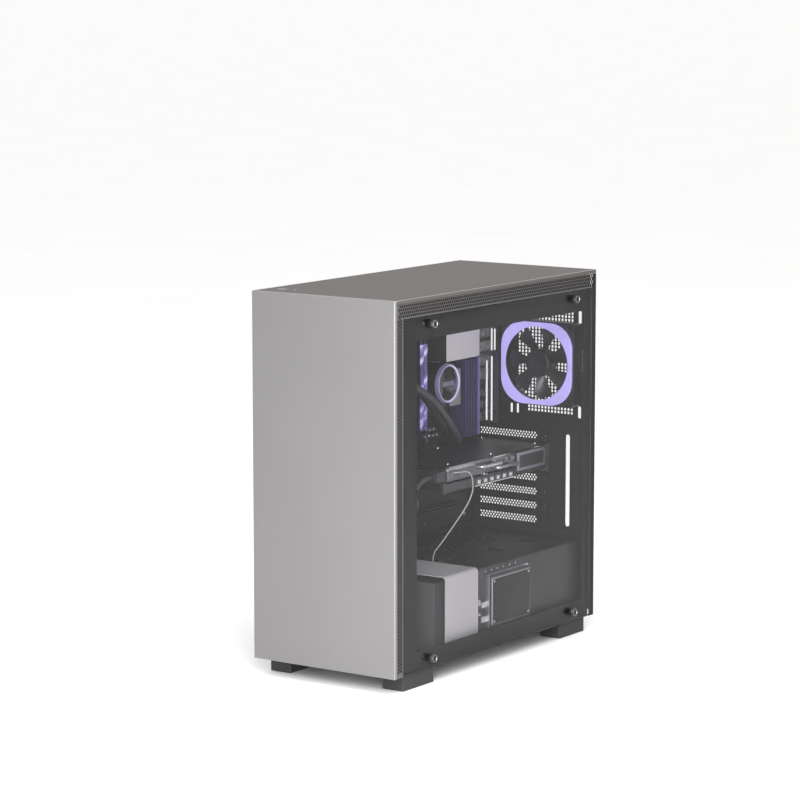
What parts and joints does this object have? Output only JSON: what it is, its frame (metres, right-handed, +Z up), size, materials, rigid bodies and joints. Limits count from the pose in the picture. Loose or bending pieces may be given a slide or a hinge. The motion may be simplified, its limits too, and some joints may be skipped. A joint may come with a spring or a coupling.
{
  "type": "desktop computer tower",
  "caption": "Upright computer tower with a plain satin front and top, a perforated frame round a glass side panel, and lit components inside.",
  "frame": {"origin": "centre of the footprint at floor level, under the feet", "axes": "+Z up, the plain front panel faces -Y, the glass side faces +X"},
  "size_m": [0.239, 0.494, 0.516],
  "materials": {
    "satin_panel": "satin silver-grey paint",
    "grey_steel": "satin mid-grey paint",
    "dark_steel": "satin near-black paint",
    "pale_cover": "satin pale grey paint",
    "bright_steel": "bright plated steel",
    "side_glass": "lightly tinted tempered glass",
    "black_print": "black ceramic print on glass",
    "black_plastic": "fine matt",
    "black_metal": "black coated metal",
    "foot_rubber": "matt",
    "tube_rubber": "matt black",
    "grey_cable": "satin",
    "fin_metal": "plain fins",
    "circuit_board": "black solder mask",
    "light_diffuser": "frosted, lit periwinkle from inside"
  },
  "bodies": {
    "chassis": {"top_panel": "satin_panel", "side_frame": "grey_steel", "rear_panel": "grey_steel", "base_pan": "dark_steel", "motherboard_tray": "dark_steel", "inner_frame": "dark_steel", "psu_shroud": "dark_steel", "drive_cage": "dark_steel", "slot_covers": "dark_steel", "shroud_front_cover": "pale_cover", "io_cover": "pale_cover", "ssd_bracket": "bright_steel", "machine_screws": "bright_steel", "io_shield": "bright_steel", "io_ports": "bright_steel", "gpu_bracket": "bright_steel", "board_slots": "black_plastic", "pump_housing": "black_plastic", "rear_fan_frame": "black_plastic", "front_fan_frames": "black_plastic", "gpu_shroud": "black_plastic", "gpu_power_plug": "black_plastic", "psu_inlet": "black_plastic", "ssd": "black_plastic", "psu_case": "black_metal", "gpu_backplate": "black_metal", "radiator": "black_metal", "memory_sticks": "black_metal", "feet": "foot_rubber", "coolant_tube_supply": "tube_rubber", "coolant_tube_return": "tube_rubber", "gpu_power_cable": "tube_rubber", "indicator_cable": "grey_cable", "gpu_heatsink": "fin_metal", "vrm_heatsink": "fin_metal", "motherboard": "circuit_board", "gpu_board": "circuit_board", "memory_light_bars": "light_diffuser", "pump_light_ring": "light_diffuser", "rear_fan_light_ring": "light_diffuser"},
    "front_panel": {"front_panel": "satin_panel"},
    "side_panel": {"side_panel": "grey_steel", "side_panel_screws": "black_metal"},
    "glass": {"glass_panel": "side_glass", "glass_border": "black_print"},
    "thumbscrew_front_lower": {"thumbscrew_front_lower": "black_metal"},
    "thumbscrew_front_upper": {"thumbscrew_front_upper": "black_metal"},
    "thumbscrew_rear_lower": {"thumbscrew_rear_lower": "black_metal"},
    "thumbscrew_rear_upper": {"thumbscrew_rear_upper": "black_metal"},
    "dust_filter": {"dust_filter": "black_plastic"},
    "power_button": {"power_button": "satin_panel"},
    "reset_button": {"reset_button": "black_plastic"},
    "rear_fan_rotor": {"rear_fan_rotor": "black_plastic"},
    "front_fan_rotor_lower": {"front_fan_rotor_lower": "black_plastic"},
    "front_fan_rotor_upper": {"front_fan_rotor_upper": "black_plastic"},
    "gpu_fan_front": {"gpu_fan_front": "black_plastic"},
    "gpu_fan_rear": {"gpu_fan_rear": "black_plastic"},
    "psu_fan_rotor": {"psu_fan_rotor": "black_plastic"},
    "psu_switch": {"psu_switch": "black_plastic"}
  },
  "joints": [
    {"name": "front_panel_pull", "type": "slide", "parent": "chassis", "child": "front_panel", "axis": [0, -1, 0], "range_m": [0, 0.03]},
    {"name": "side_panel_slide", "type": "slide", "parent": "chassis", "child": "side_panel", "axis": [0, 1, 0], "range_m": [0, 0.02]},
    {"name": "glass_lift_off", "type": "slide", "parent": "chassis", "child": "glass", "axis": [1, 0, 0], "range_m": [0, 0.05]},
    {"name": "thumbscrew_front_lower_out", "type": "slide", "parent": "glass", "child": "thumbscrew_front_lower", "axis": [1, 0, 0], "range_m": [0, 0.02]},
    {"name": "thumbscrew_front_upper_out", "type": "slide", "parent": "glass", "child": "thumbscrew_front_upper", "axis": [1, 0, 0], "range_m": [0, 0.02]},
    {"name": "thumbscrew_rear_lower_out", "type": "slide", "parent": "glass", "child": "thumbscrew_rear_lower", "axis": [1, 0, 0], "range_m": [0, 0.02]},
    {"name": "thumbscrew_rear_upper_out", "type": "slide", "parent": "glass", "child": "thumbscrew_rear_upper", "axis": [1, 0, 0], "range_m": [0, 0.02]},
    {"name": "dust_filter_slide", "type": "slide", "parent": "chassis", "child": "dust_filter", "axis": [0, 1, 0], "range_m": [0, 0.15]},
    {"name": "power_button_press", "type": "slide", "parent": "chassis", "child": "power_button", "axis": [0, 0, -1], "range_m": [0, 0.0015], "stiffness_N_per_m": 400, "springref_m": -0.001},
    {"name": "reset_button_press", "type": "slide", "parent": "chassis", "child": "reset_button", "axis": [0, 0, -1], "range_m": [0, 0.001], "stiffness_N_per_m": 300, "springref_m": -0.001},
    {"name": "rear_fan_spin", "type": "hinge", "parent": "chassis", "child": "rear_fan_rotor", "pos_m": [0.0325, 0.225, 0.3805], "axis": [0, 1, 0], "continuous": true},
    {"name": "front_fan_lower_spin", "type": "hinge", "parent": "chassis", "child": "front_fan_rotor_lower", "pos_m": [0.0055, -0.209, 0.228], "axis": [0, 1, 0], "continuous": true},
    {"name": "front_fan_upper_spin", "type": "hinge", "parent": "chassis", "child": "front_fan_rotor_upper", "pos_m": [0.0055, -0.209, 0.349], "axis": [0, 1, 0], "continuous": true},
    {"name": "gpu_fan_front_spin", "type": "hinge", "parent": "chassis", "child": "gpu_fan_front", "pos_m": [-0.0165, 0.035, 0.234], "axis": [0, 0, 1], "continuous": true},
    {"name": "gpu_fan_rear_spin", "type": "hinge", "parent": "chassis", "child": "gpu_fan_rear", "pos_m": [-0.0165, 0.153, 0.234], "axis": [0, 0, 1], "continuous": true},
    {"name": "psu_fan_spin", "type": "hinge", "parent": "chassis", "child": "psu_fan_rotor", "pos_m": [-0.0165, 0.1672, 0.039], "axis": [0, 0, 1], "continuous": true},
    {"name": "psu_switch_rock", "type": "hinge", "parent": "chassis", "child": "psu_switch", "pos_m": [0.0455, 0.2375, 0.088], "axis": [1, 0, 0], "range_deg": [0, 14]}
  ]
}
